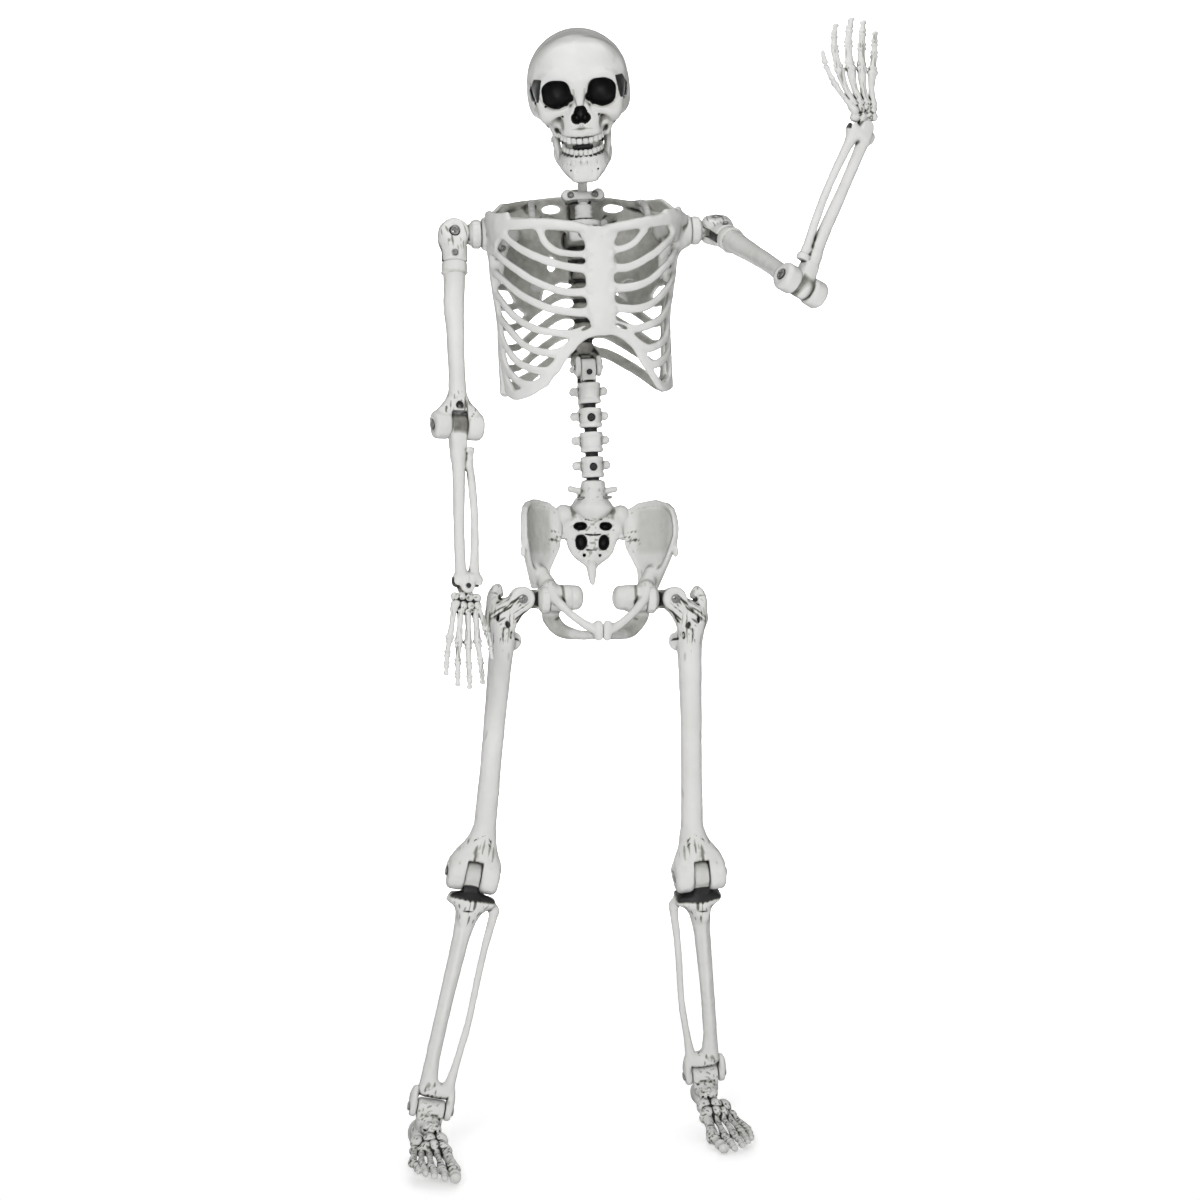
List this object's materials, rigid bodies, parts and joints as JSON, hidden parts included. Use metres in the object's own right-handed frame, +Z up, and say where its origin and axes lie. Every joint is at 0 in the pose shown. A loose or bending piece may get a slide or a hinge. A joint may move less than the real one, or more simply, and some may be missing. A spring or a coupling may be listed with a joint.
{
  "type": "halloween skeleton figure",
  "caption": "Life-size posable plastic skeleton with bolted hinge joints at neck, jaw, waist, shoulders, elbows, wrists, hips, knees and ankles.",
  "frame": {"origin": "centre of the bounding box's bottom face", "axes": "+Z up, the figure's height; -Y the way the chest faces; +X the figure's left"},
  "size_m": [0.6508, 0.4434, 1.6499],
  "materials": {
    "bone": "off-white moulded plastic with dark wash in the hollows",
    "hardware": "dull zinc"
  },
  "bodies": {
    "torso": {"ribcage_front": "bone", "ribcage_rear": "bone", "ribcage_screws": "hardware", "waist_bend_pin": "hardware", "neck_post": "bone"},
    "lumbar": {"spine_front": "bone", "spine_rear": "bone", "spine_screws": "hardware"},
    "pelvis": {"sacrum": "bone", "hip_bone_right": "bone", "hip_bone_left": "bone", "pelvis_screws": "hardware", "waist_twist_pin": "hardware"},
    "neck": {"neck_clamp_front": "bone", "neck_clamp_rear": "bone", "neck_clamp_screws": "hardware", "nod_pin": "hardware"},
    "skull": {"skull_front": "bone", "skull_rear": "bone", "skull_stem": "bone", "hanging_loop": "hardware", "jaw_pins": "hardware"},
    "jaw": {"jaw": "bone"},
    "shoulder_right": {"shoulder_knuckle_right": "bone", "shoulder_bolt_right": "hardware"},
    "arm_head_right": {"humeral_head_right": "bone", "twist_screw_right": "hardware"},
    "upper_arm_right": {"humerus_right": "bone", "elbow_bolt_right": "hardware"},
    "forearm_right": {"forearm_right": "bone", "wrist_pin_right": "hardware"},
    "hand_right": {"hand_right": "bone"},
    "shoulder_left": {"shoulder_knuckle_left": "bone", "shoulder_bolt_left": "hardware"},
    "arm_head_left": {"humeral_head_left": "bone", "twist_screw_left": "hardware"},
    "upper_arm_left": {"humerus_left": "bone", "elbow_bolt_left": "hardware"},
    "forearm_left": {"forearm_left": "bone", "wrist_pin_left": "hardware"},
    "hand_left": {"hand_left": "bone"},
    "hip_right": {"hip_knuckle_right": "bone", "hip_bolt_right": "hardware"},
    "thigh_right": {"femur_right": "bone", "knee_bolt_right": "hardware"},
    "shin_right": {"shin_right": "bone", "ankle_bolt_right": "hardware"},
    "foot_right": {"foot_right": "bone"},
    "hip_left": {"hip_knuckle_left": "bone", "hip_bolt_left": "hardware"},
    "thigh_left": {"femur_left": "bone", "knee_bolt_left": "hardware"},
    "shin_left": {"shin_left": "bone", "ankle_bolt_left": "hardware"},
    "foot_left": {"foot_left": "bone"}
  },
  "joints": [
    {"name": "waist_bend", "type": "hinge", "parent": "torso", "child": "lumbar", "pos_m": [-0.03956, 0.10131, 1.15347], "axis": [-0.999, 0, -0.0436], "range_deg": [-5, 25]},
    {"name": "waist_twist", "type": "hinge", "parent": "lumbar", "child": "pelvis", "pos_m": [-0.03202, 0.10131, 0.98064], "axis": [-0.0436, 0, 0.999], "range_deg": [-30, 30]},
    {"name": "neck_turn", "type": "hinge", "parent": "torso", "child": "neck", "pos_m": [-0.05038, 0.07931, 1.40124], "axis": [-0.0436, 0, 0.999], "range_deg": [-52, 68]},
    {"name": "head_nod", "type": "hinge", "parent": "neck", "child": "skull", "pos_m": [-0.05038, 0.07931, 1.40124], "axis": [0.9893, -0.1392, 0.0432], "range_deg": [-20, 12]},
    {"name": "jaw_open", "type": "hinge", "parent": "skull", "child": "jaw", "pos_m": [-0.05484, 0.07385, 1.48584], "axis": [0.9893, -0.1392, 0.0432], "range_deg": [0, 18]},
    {"name": "shoulder_swing_right", "type": "hinge", "parent": "torso", "child": "shoulder_right", "pos_m": [-0.20283, 0.06131, 1.33953], "axis": [-0.999, 0, -0.0436], "range_deg": [-48.4, 141.6]},
    {"name": "arm_spread_right", "type": "hinge", "parent": "shoulder_right", "child": "arm_head_right", "pos_m": [-0.2418, 0.06131, 1.33783], "axis": [0.0064, 0.9893, -0.1459], "range_deg": [-2.1, 77.9]},
    {"name": "arm_twist_right", "type": "hinge", "parent": "arm_head_right", "child": "upper_arm_right", "pos_m": [-0.2418, 0.06131, 1.33783], "axis": [0.0065, -0.146, -0.9893], "range_deg": [-30, 75]},
    {"name": "elbow_bend_right", "type": "hinge", "parent": "upper_arm_right", "child": "forearm_right", "pos_m": [-0.23995, 0.01985, 1.05687], "axis": [-0.9675, -0.2509, 0.0307], "range_deg": [-5.6, 104.4]},
    {"name": "wrist_tilt_right", "type": "hinge", "parent": "forearm_right", "child": "hand_right", "pos_m": [-0.23254, -0.03695, 0.82587], "axis": [0.2508, -0.9381, 0.2387], "range_deg": [-26, 24]},
    {"name": "shoulder_swing_left", "type": "hinge", "parent": "torso", "child": "shoulder_left", "pos_m": [0.10687, 0.06131, 1.35305], "axis": [-0.999, 0, -0.0436], "range_deg": [-104.2, 85.8]},
    {"name": "arm_spread_left", "type": "hinge", "parent": "shoulder_left", "child": "arm_head_left", "pos_m": [0.14583, 0.06131, 1.35475], "axis": [-0.0393, -0.4352, 0.8995], "range_deg": [-12.5, 67.5]},
    {"name": "arm_twist_left", "type": "hinge", "parent": "arm_head_left", "child": "upper_arm_left", "pos_m": [0.14583, 0.06131, 1.35475], "axis": [-0.2348, 0.879, 0.4151], "range_deg": [-91.9, 28.1]},
    {"name": "elbow_bend_left", "type": "hinge", "parent": "upper_arm_left", "child": "forearm_left", "pos_m": [0.21251, -0.18832, 1.23687], "axis": [-0.8453, -0.3954, 0.3593], "range_deg": [-108.6, 1.4]},
    {"name": "wrist_tilt_left", "type": "hinge", "parent": "forearm_left", "child": "hand_left", "pos_m": [0.30294, -0.18171, 1.45692], "axis": [0.3756, -0.9181, -0.1268], "range_deg": [-57, 3]},
    {"name": "leg_swing_right", "type": "hinge", "parent": "pelvis", "child": "hip_right", "pos_m": [-0.10302, 0.05131, 0.80964], "axis": [-1, 0, 0], "range_deg": [-15, 85]},
    {"name": "leg_spread_right", "type": "hinge", "parent": "hip_right", "child": "thigh_right", "pos_m": [-0.14402, 0.05131, 0.80964], "axis": [0, 1, 0], "range_deg": [-10.2, 19.8]},
    {"name": "knee_bend_right", "type": "hinge", "parent": "thigh_right", "child": "shin_right", "pos_m": [-0.21574, 0.05131, 0.41104], "axis": [0.9842, 0, -0.1771], "range_deg": [0, 110]},
    {"name": "ankle_bend_right", "type": "hinge", "parent": "shin_right", "child": "foot_right", "pos_m": [-0.2763, 0.05131, 0.07444], "axis": [0.9842, 0, -0.1771], "range_deg": [-20, 30]},
    {"name": "leg_swing_left", "type": "hinge", "parent": "pelvis", "child": "hip_left", "pos_m": [0.03898, 0.05131, 0.80964], "axis": [-1, 0, 0], "range_deg": [-16, 84]},
    {"name": "leg_spread_left", "type": "hinge", "parent": "hip_left", "child": "thigh_left", "pos_m": [0.07998, 0.05131, 0.80964], "axis": [0, -0.9998, 0.0175], "range_deg": [-5.4, 24.6]},
    {"name": "knee_bend_left", "type": "hinge", "parent": "thigh_left", "child": "shin_left", "pos_m": [0.1181, 0.04428, 0.40649], "axis": [0.9956, 0.0016, 0.0941], "range_deg": [-21, 89]},
    {"name": "ankle_bend_left", "type": "hinge", "parent": "shin_left", "child": "foot_left", "pos_m": [0.14815, 0.16127, 0.08654], "axis": [0.9956, 0.0016, 0.0941], "range_deg": [-8, 42]}
  ]
}
